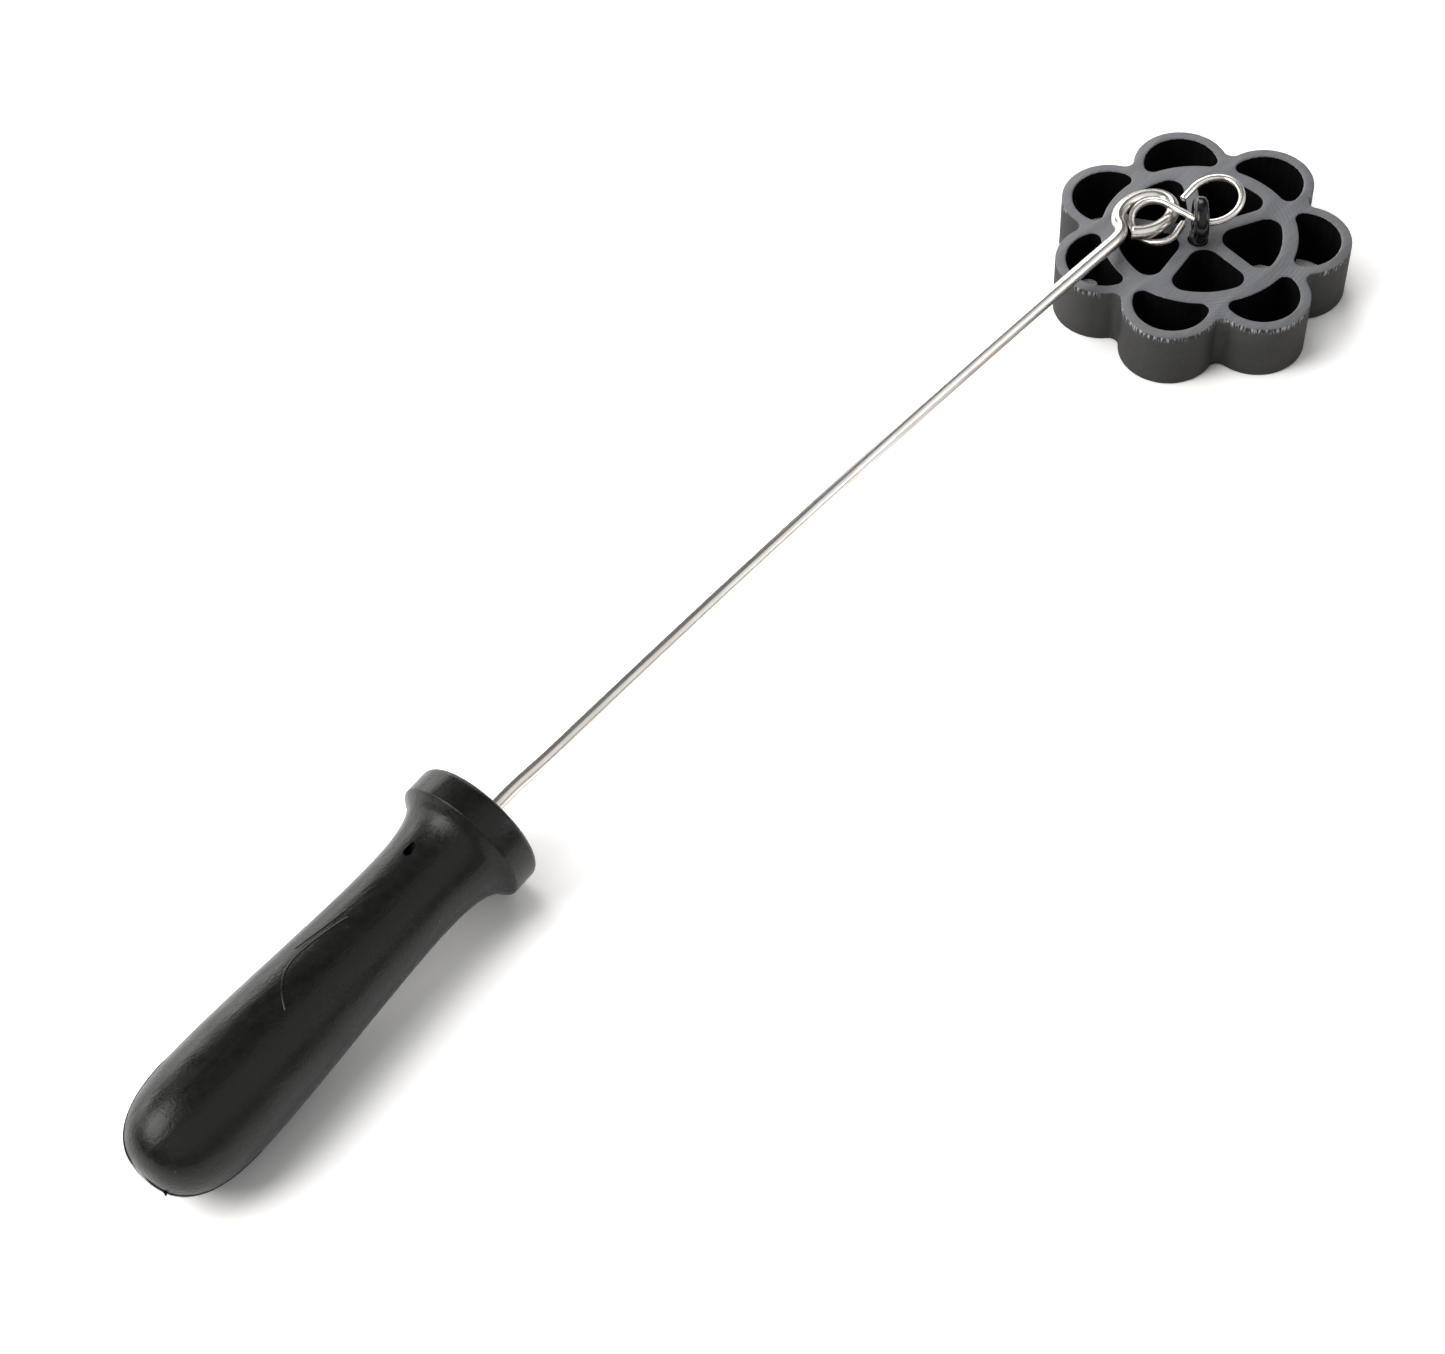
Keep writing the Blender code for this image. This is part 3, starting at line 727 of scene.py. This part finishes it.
class ROSETTE_OT_mould(bpy.types.Operator):
    """Model the pierced flower casting"""

    bl_idname = "rosette.mould"
    bl_label = "Mould"

    def execute(self, context):
        mould, ear = settings("mould"), settings("ear")
        curve = bpy.data.curves.new("casting", "CURVE")
        curve.dimensions = "2D"
        curve.fill_mode = "BOTH"
        curve.extrude = mould.height / 2 - mould.edge
        curve.bevel_depth = mould.edge
        curve.bevel_resolution = 3
        curve.offset = -mould.edge
        add_outline(curve, flower_points(mould), mould.petal_turn)
        rows = (
            (mould.petals, petal_hole_points(mould), mould.petal_turn),
            (mould.sectors, sector_hole_points(mould), mould.sector_turn),
        )
        for count, points, turn in rows:
            for hole in range(count):
                add_outline(curve, points, turn + 2 * math.pi * hole / count)
        source = new_object("casting_outline", curve)
        shape = drawn_shape(source)
        bpy.data.objects.remove(source)
        bmesh.ops.remove_doubles(shape, verts=shape.verts, dist=MERGE_GAP)
        bmesh.ops.translate(shape, verts=shape.verts, vec=(0.0, 0.0, mould.height / 2))
        bmesh.ops.recalc_face_normals(shape, faces=shape.faces)
        roughen_rim(shape, mould)
        bore = upright(ear, ear.stud + ear.gap, mould.height - ear.stud_depth - ear.gap, 2 * mould.height)
        shape = carve(shape, [bore], "DIFFERENCE")
        paint_hole_shade(shape, mould)
        paints = [casting_paint(), hole_shade_paint()]
        finish_piece(shape, "casting", paints, "mould", "mould_body")
        return {"FINISHED"}


class ROSETTE_OT_ear(bpy.types.Operator):
    """Model the ear that stands on the hub"""

    bl_idname = "rosette.ear"
    bl_label = "Ear"

    def execute(self, context):
        ear, mould = settings("ear"), settings("mould")
        half = ear.thickness / 2
        rim, inner = ear.rounding, ear.hole_rounding
        profile = arc((ear.hole + inner, half - inner), inner, math.pi, math.pi / 2, 5)
        profile += arc((ear.radius - rim, half - rim), rim, math.pi / 2, 0.0, 8)
        profile += [(radius, -depth) for radius, depth in reversed(profile)]
        shape = spun(profile, 96, closed=True)
        place = (
            Matrix.Translation((ear.place_x, ear.place_y, mould.height + ear.hole_height))
            @ Matrix.Rotation(ear.turn, 4, "Z")
            @ Matrix.Rotation(math.pi / 2, 4, "X")
        )
        bmesh.ops.transform(shape, matrix=place, verts=shape.verts)
        top = mould.height + ear.gap + ear.stud_rise
        shape = carve(shape, [upright(ear, ear.stud, mould.height - ear.stud_depth, top)], "UNION")
        finish_piece(shape, "ear", [ear_paint()], "mould", "eyelet")
        return {"FINISHED"}


def sweep(route, radius, sides, chamfer):
    """Draw a round wire along a route by extruding one ring, and map it along its length."""
    route = [Vector(point) for point in route]
    ahead = (route[1] - route[0]).normalized()
    behind = (route[-1] - route[-2]).normalized()
    route.insert(1, route[0] + ahead * chamfer)
    route.insert(-1, route[-1] - behind * chamfer)
    shape = bmesh.new()
    uv = shape.loops.layers.uv.new("UVMap")
    place = facing(route[0], ahead)
    ring = bmesh.ops.create_circle(shape, segments=sides, radius=radius - chamfer, matrix=place)["verts"]
    edges = list({edge for vert in ring for edge in vert.link_edges})
    bmesh.ops.edgeloop_fill(shape, edges=edges)
    where = {vert: 0.0 for vert in ring}
    turns = {vert: math.atan2(*(place.inverted() @ vert.co).yx) for vert in ring}
    travelled = 0.0
    heading = ahead
    size = radius - chamfer
    for index in range(1, len(route)):
        last = index == len(route) - 1
        following = (route[index] - route[index - 1]) if last else (route[index + 1] - route[index - 1])
        following.normalize()
        bend = heading.rotation_difference(following).to_matrix().to_4x4()
        wanted = radius - chamfer if last else radius
        move = (
            Matrix.Translation(route[index]) @ bend @ Matrix.Scale(wanted / size, 4)
            @ Matrix.Translation(-route[index - 1])
        )
        made = bmesh.ops.extrude_edge_only(shape, edges=edges)["geom"]
        verts = [item for item in made if isinstance(item, bmesh.types.BMVert)]
        edges = [
            item for item in made
            if isinstance(item, bmesh.types.BMEdge) and all(vert in verts for vert in item.verts)
        ]
        for vert in verts:
            below = next(edge.other_vert(vert) for edge in vert.link_edges if edge.other_vert(vert) in where)
            turns[vert] = turns[below]
        bmesh.ops.transform(shape, matrix=move, verts=verts)
        travelled += (route[index] - route[index - 1]).length
        where.update({vert: travelled for vert in verts})
        heading, size = following, wanted
    bmesh.ops.edgeloop_fill(shape, edges=edges)
    for face in shape.faces:
        across = [turns[loop.vert] for loop in face.loops]
        wraps = max(across) - min(across) > math.pi
        for loop, turn in zip(face.loops, across):
            if wraps and turn < 0:
                turn += 2 * math.pi
            loop[uv].uv = (where[loop.vert] * 100.0, turn / (2 * math.pi))
    bmesh.ops.recalc_face_normals(shape, faces=shape.faces)
    return shape


def strand_height():
    """Height of the hook's strand, in the middle of the ear's hole."""
    return settings("mould").height + settings("ear").hole_height


def crossing(wire):
    """Height between the hook's and the rod's centre lines where they cross."""
    return wire.hook_radius + wire.rod_radius + wire.play


def hook_loop(wire, name, side, tilt):
    """Points of one loop, from its tangent on the strand round to its cut end."""
    parts = ("_across", "_along", "_y", "_tail")
    across, along, middle, tail = [getattr(wire, name + part) for part in parts]
    outward = Vector((side * math.cos(tilt), 0.0, side * math.sin(tilt)))
    start = Vector((wire.strand, 0.0, strand_height()))
    points = []
    steps = 72
    for step in range(steps + 1):
        turn = math.pi - wire.loop_turn * step / steps
        sideways = outward * across * (1.0 + math.cos(turn))
        points.append(start + sideways + Vector((0.0, middle - side * along * math.sin(turn), 0.0)))
    points.append(points[-1] - outward * tail)
    return points


class ROSETTE_OT_hook(bpy.types.Operator):
    """Model the figure-of-eight hook"""

    bl_idname = "rosette.hook"
    bl_label = "Hook"

    def execute(self, context):
        wire = settings("wire")
        width = 2 * wire.rod_loop_across
        dip = math.asin((2 * crossing(wire) + width * math.tan(wire.eye_slope)) / width)
        rod_loop = hook_loop(wire, "rod_loop", -1.0, dip)
        mould_loop = hook_loop(wire, "mould_loop", 1.0, wire.mould_loop_rise)
        shape = sweep(list(reversed(rod_loop)) + mould_loop, wire.hook_radius, 28, wire.chamfer)
        finish_piece(shape, "hook_wire", [wire_paint()], "hook", "s_hook")
        return {"FINISHED"}


def handle_frame():
    """The handle's frame: origin on the flange's face, local Z along its axis to the rod.

    Its tilt rests the flange and the belly on the table.
    """
    handle, wire = settings("handle"), settings("wire")
    tilt = math.atan((handle.flange - handle.belly) / (handle.belly_at - handle.band))
    height = handle.flange * math.cos(tilt) + handle.band * math.sin(tilt)
    return facing((wire.rod_start, wire.rod_y, height), direction(handle.turn, tilt))


def eye_point(wire, turn):
    """A point on the eye's centre line."""
    x = wire.eye_x + wire.eye_across * math.cos(turn)
    y = wire.eye_y + wire.eye_along * math.sin(turn)
    return Vector((x, y, strand_height() - crossing(wire) + (x - wire.strand) * math.tan(wire.eye_slope)))


def rod_route(wire):
    """Centre line of the rod, from inside the handle to the eye's cut end."""
    frame_of_handle = handle_frame()
    mouth = frame_of_handle.to_translation()
    forward = (frame_of_handle.to_3x3() @ Vector((0.0, 0.0, 1.0))).normalized()
    points = [mouth - forward * wire.tail, mouth]
    start_x = wire.rod_start + 2 * wire.rod_bend
    neck = Vector((wire.neck, wire.rod_y, settings("mould").height + wire.neck_height))
    arch = []
    arch_steps, eye_steps = 40, 96
    for step in range(arch_steps + 1):
        x = start_x + (neck.x - start_x) * step / arch_steps
        share = (x - wire.rod_start) / (neck.x - wire.rod_start)
        chord = mouth.z + (neck.z - mouth.z) * share
        arch.append(Vector((x, wire.rod_y, chord + 4 * wire.bow * share * (1.0 - share))))
    lead = (arch[0] - arch[1]).normalized() * wire.rod_bend
    bend = mouth + forward * wire.rod_radius
    points += interpolate_bezier(bend, bend + forward * wire.rod_bend, arch[0] + lead, arch[0], 16)
    points += arch[1:]
    first = eye_point(wire, wire.eye_opening)
    into = (eye_point(wire, wire.eye_opening - wire.eye_lead) - first).normalized() * wire.neck_bend
    out = (arch[-1] - arch[-2]).normalized() * wire.neck_bend
    points += interpolate_bezier(arch[-1], arch[-1] + out, first - into, first, 20)[1:]
    for step in range(1, eye_steps + 1):
        points.append(eye_point(wire, wire.eye_opening - 2 * wire.eye_opening * step / eye_steps))
    return points


class ROSETTE_OT_rod(bpy.types.Operator):
    """Model the rod with its eye"""

    bl_idname = "rosette.rod"
    bl_label = "Rod"

    def execute(self, context):
        wire = settings("wire")
        shape = sweep(rod_route(wire), wire.rod_radius, 40, wire.chamfer)
        finish_piece(shape, "rod_wire", [wire_paint()], "grip", "rod")
        return {"FINISHED"}


def handle_profile(handle):
    """The handle's outer line, from the flange's face over the waist and belly to the dome."""
    points = [(0.0, 0.0)]
    points += arc((handle.flange - handle.edge, -handle.edge), handle.edge, math.pi / 2, 0.0, 8)
    rear = (handle.flange - handle.rear_edge, -(handle.band - handle.rear_edge / 2))
    points += arc(rear, handle.rear_edge, 0.0, -handle.rear_turn, 6)
    radius, depth = points[-1]
    points += flat_bezier((
        (radius, depth), (radius - handle.edge, depth - handle.edge),
        (handle.waist, handle.flare - handle.waist_at), (handle.waist, -handle.waist_at),
    ), 28)[1:]
    points += flat_bezier((
        (handle.waist, -handle.waist_at), (handle.waist, -handle.waist_at - handle.flare),
        (handle.belly, handle.flare - handle.belly_at), (handle.belly, -handle.belly_at),
    ), 40)[1:]
    dome, steps = handle.length - handle.belly_at, 32
    for step in range(1, steps):
        turn = math.pi / 2 * step / steps
        radius = handle.belly * math.cos(turn) ** (2 / handle.dome_power)
        points.append((radius, -(handle.belly_at + dome * math.sin(turn) ** (2 / handle.dome_power))))
    points.append((0.0, -handle.length))
    return points


def body_radius(profile, behind):
    """The handle's radius at a distance behind the flange's face."""
    for (radius, depth), (next_radius, next_depth) in zip(profile, profile[1:]):
        if -depth <= behind < -next_depth:
            return radius + (behind + depth) / (depth - next_depth) * (next_radius - radius)


# Flow lines in the plastic, as curves with four control points: how far each is behind the flange's
# face in mm, and where it looks about the handle's axis in degrees.
FLOW_LINES = {
    "long_flow_line": ((37.0, 85.0), (52.0, 66.0), (56.0, 66.0), (62.5, 111.0)),
    "short_flow_line": ((36.5, 75.5), (41.0, 72.5), (46.0, 68.0), (50.5, 63.0)),
}


class ROSETTE_OT_handle(bpy.types.Operator):
    """Model the moulded handle with its pin hole, parting line and flow lines"""

    bl_idname = "rosette.handle"
    bl_label = "Handle"

    def execute(self, context):
        handle, wire = settings("handle"), settings("wire")
        place = handle_frame()
        profile = handle_profile(handle)
        shape = spun(profile, 128, closed=False)
        out = Matrix.Rotation(handle.pin_turn, 4, "Z") @ Matrix.Rotation(math.pi / 2, 4, "Y")
        start = handle.waist + handle.socket_gap - handle.pin_depth
        socket_length = 2 * (wire.tail + wire.rod_radius)
        cuts = [(wire.rod_radius + handle.socket_gap, socket_length, Matrix.Identity(4))]
        surface = next(radius for radius, depth in profile if depth <= -handle.pin_at)
        for share, widening, floor in ((-1.0, 1.0, 0.0), (0.0, 0.9, 0.6), (1.0, 0.75, 0.88)):
            along = Matrix.Translation((0.0, 0.0, share * handle.pin_slot - handle.pin_at))
            bottom = start + floor * (surface - start)
            above = Matrix.Translation((0.0, 0.0, bottom + handle.flange / 2))
            cuts.append((widening * handle.pin_radius, handle.flange, along @ out @ above))
        shape = carve(shape, cuts, "DIFFERENCE")
        bmesh.ops.transform(shape, matrix=place, verts=shape.verts)
        paint = handle_paint()
        finish_piece(shape, "grip_moulding", [paint], "grip", "handle")

        bead = self.parting_line(handle, profile, place)
        finish_piece(bead, "parting_line", [seam_paint()], "grip", None)
        for name, line in FLOW_LINES.items():
            bead = self.flow_line(handle, profile, place, line)
            finish_piece(bead, name, [paint], "grip", None)
        return {"FINISHED"}

    def flow_line(self, handle, profile, place, line):
        """A faint raised line on the body where two flows of plastic met."""
        route = []
        steps = 20
        curve = flat_bezier([(behind * MM, math.radians(turn)) for behind, turn in line], steps + 1)
        for step, (behind, turn) in enumerate(curve):
            sink = 1.5 if step in (0, steps) else 0.45
            radius = body_radius(profile, behind) - sink * handle.flow_line
            route.append(place @ Vector((*polar(radius, turn), -behind)))
        return sweep(route, handle.flow_line, 8, handle.flow_line / 4)

    def parting_line(self, handle, profile, place):
        """A low bead where the two halves of the tool met, with the nub of the gate on the dome."""
        sink, drop = handle.seam * 0.55, handle.seam_drop
        near = []
        for radius, depth in profile:
            if depth < -handle.belly_at and radius > drop + sink:
                inward = sink if near else 2 * handle.seam
                share = (radius - inward) / radius
                near.append(Vector((share * math.sqrt(radius ** 2 - drop ** 2), share * drop, depth)))
        tip_sink = 0.04 * MM
        tip = Vector((0.0, drop, -handle.length + sink + tip_sink))
        far = [Vector((-point.x, point.y, point.z)) for point in reversed(near)]
        plane = place @ Matrix.Rotation(handle.seam_turn, 4, "Z")
        bead = sweep([plane @ point for point in near + [tip] + far], handle.seam, 8, handle.seam / 4)
        gate = plane @ Matrix.Translation((-handle.gate_at, drop, handle.gate_sink - handle.length))
        bmesh.ops.create_cone(
            bead, cap_ends=True, segments=10, radius1=handle.gate_radius, radius2=handle.gate_tip,
            depth=handle.gate_length, matrix=gate @ Matrix.Rotation(handle.gate_turn, 4, "Y"),
        )
        return bead


# Stage

WHITE = (1.0, 1.0, 1.0)

# Each lamp's size, what it looks at, the direction it stands in and how far off, in metres.
MIDDLE, GRIP, MOULD = (-0.15, 0.0, 0.0), (-0.30, 0.01, 0.02), (0.0, 0.0, 0.0)
LAMPS = {
    "key": ((1.1, 1.1), MIDDLE, (-0.08, 0.32, 0.94), 1.5),
    "strip": ((2.4, 0.5), MIDDLE, (0.06, 0.97, 0.20), 1.5),
    "left": ((0.9, 0.9), GRIP, (-0.58, 0.43, 0.69), 1.2),
    "side": ((0.6, 0.6), MIDDLE, (0.60, -0.72, 0.34), 1.5),
    "back": ((0.25, 0.25), MOULD, (0.53, 0.59, 0.61), 0.5),
}


class ROSETTE_OT_stage(bpy.types.Operator):
    """Set up the floor, the lamps and the camera"""

    bl_idname = "rosette.stage"
    bl_label = "Stage"

    def execute(self, context):
        stage = settings("stage")
        scene = context.scene
        self.floor(stage)
        self.world(scene, stage)
        for name, (size, target, toward, distance) in LAMPS.items():
            lamp = self.lamp(name, getattr(stage, name), size, Vector(target), toward, distance)
            lamp.visible_glossy = name != "key"
        self.camera(scene, stage)
        scene.view_settings.view_transform = "Standard"
        return {"FINISHED"}

    def floor(self, stage):
        """A pale floor that shows white and keeps the shadow; in reflections only, a painted shade darkens
        it near the mould.
        """
        shape = bmesh.new()
        bmesh.ops.create_grid(shape, x_segments=1, y_segments=1, size=stage.floor_size)
        floor = mesh_object("floor", shape)
        floor.location.z = -stage.floor_drop
        paint = Paint("pale_floor")
        around = paint.place((0.45, 1.0, 1.0), shift=(0.07, 0.0, 0.0))
        direct = paint.seen_directly()
        mirrored = paint.node("LightPath").outputs["Is Glossy Ray"]
        # Painted shade: to glossy rays the floor near the mould is darker, standing in for the mould's shade
        # on it.
        shade = paint.product(mirrored, paint.ramp(paint.size_of(paint.place()), 0.12, 0.06))
        shown = paint.mix(shade, stage.floor_shown, stage.mirrored_floor_shade)
        chalk = paint.node("BsdfDiffuse", {"Color": paint.mix(direct, stage.floor_colour, shown)})
        beyond = paint.node("Emission", {"Color": paint.mix(mirrored, WHITE, stage.low_side)})
        far = paint.ramp(paint.size_of(around), 0.24, 0.50)
        paint.blend(paint.product(direct, far), chalk, beyond, "Material Output")
        floor.data.materials.append(paint.material)

    def world(self, scene, stage):
        """Soft light all round, and a backdrop that the camera and the metal see."""
        world = bpy.data.worlds.new("studio")
        scene.world = world
        world.use_nodes = True
        world.cycles.sampling_method = "NONE"
        nodes = Nodes(world.node_tree)
        toward = nodes.node("SeparateXYZ", {"Vector": nodes.node("TexCoord").outputs["Generated"]})
        far = nodes.ramp(toward.outputs["Y"], -0.28, -0.08)
        upper = nodes.ramp(toward.outputs["Z"], 0.20, 0.46)
        backdrop = nodes.mix(upper, stage.low_side, stage.high_side)
        backdrop = nodes.mix(far, backdrop, stage.far_side)
        backdrop = nodes.mix(nodes.node("LightPath").outputs["Is Camera Ray"], backdrop, WHITE)
        shown = nodes.node("Background", {"Color": backdrop, "Strength": 1.0})
        fill = nodes.ramp(toward.outputs["Y"], -0.6, 0.6, stage.fill, stage.fill_far)
        light = nodes.node("Background", {"Color": WHITE, "Strength": fill})
        nodes.blend(nodes.seen_directly(), light, shown, "World Output")

    def lamp(self, name, watts, size, target, toward, distance):
        """A soft lamp that looks at a target."""
        data = bpy.data.lights.new(name, "AREA")
        data.shape = "ELLIPSE" if size[0] == size[1] else "RECTANGLE"
        data.size, data.size_y = size
        data.energy = watts
        data.color = (1.0, 0.99, 0.975)
        lamp = new_object(name, data)
        offset = Vector(toward).normalized() * distance
        lamp.matrix_world = facing(target + offset, -offset, "-Z")
        return lamp

    def camera(self, scene, stage):
        """The camera, placed by its azimuth, pitch and roll."""
        data = bpy.data.cameras.new("camera")
        data.sensor_width = 36.0
        data.sensor_fit = "HORIZONTAL"
        data.lens = stage.lens
        data.clip_start = 0.01
        data.clip_end = 20.0
        camera = new_object("camera", data)
        level = facing(stage.camera_place, direction(stage.azimuth, -stage.pitch), "-Z")
        camera.matrix_world = level @ Matrix.Rotation(-stage.roll, 4, "Z")
        scene.camera = camera


class ROSETTE_PT_panel(bpy.types.Panel):
    """Lists the pieces in the 3D view's sidebar"""

    bl_idname = "ROSETTE_PT_panel"
    bl_label = "Rosette iron"
    bl_space_type = "VIEW_3D"
    bl_region_type = "UI"
    bl_category = "Rosette iron"

    def draw(self, context):
        for operator in OPERATORS:
            self.layout.operator(operator.bl_idname)


GROUPS = {
    "mould": MouldSettings, "ear": EarSettings, "wire": WireSettings,
    "handle": HandleSettings, "stage": StageSettings,
}
OPERATORS = (
    ROSETTE_OT_mould, ROSETTE_OT_ear, ROSETTE_OT_hook, ROSETTE_OT_rod, ROSETTE_OT_handle, ROSETTE_OT_stage,
)


def register():
    """Register the classes and put their values on the scene."""
    for group in GROUPS.values():
        bpy.utils.register_class(group)
    for operator in OPERATORS:
        bpy.utils.register_class(operator)
    bpy.utils.register_class(ROSETTE_PT_panel)
    for name, group in GROUPS.items():
        setattr(bpy.types.Scene, "rosette_" + name, bpy.props.PointerProperty(type=group))


def unregister():
    """Take everything back."""
    for name in GROUPS:
        delattr(bpy.types.Scene, "rosette_" + name)
    for made in (ROSETTE_PT_panel, *OPERATORS, *GROUPS.values()):
        bpy.utils.unregister_class(made)


def main():
    """Build every piece in order."""
    register()
    bpy.ops.rosette.mould()
    bpy.ops.rosette.ear()
    bpy.ops.rosette.hook()
    bpy.ops.rosette.rod()
    bpy.ops.rosette.handle()
    bpy.ops.rosette.stage()


if __name__ == "__main__":
    main()
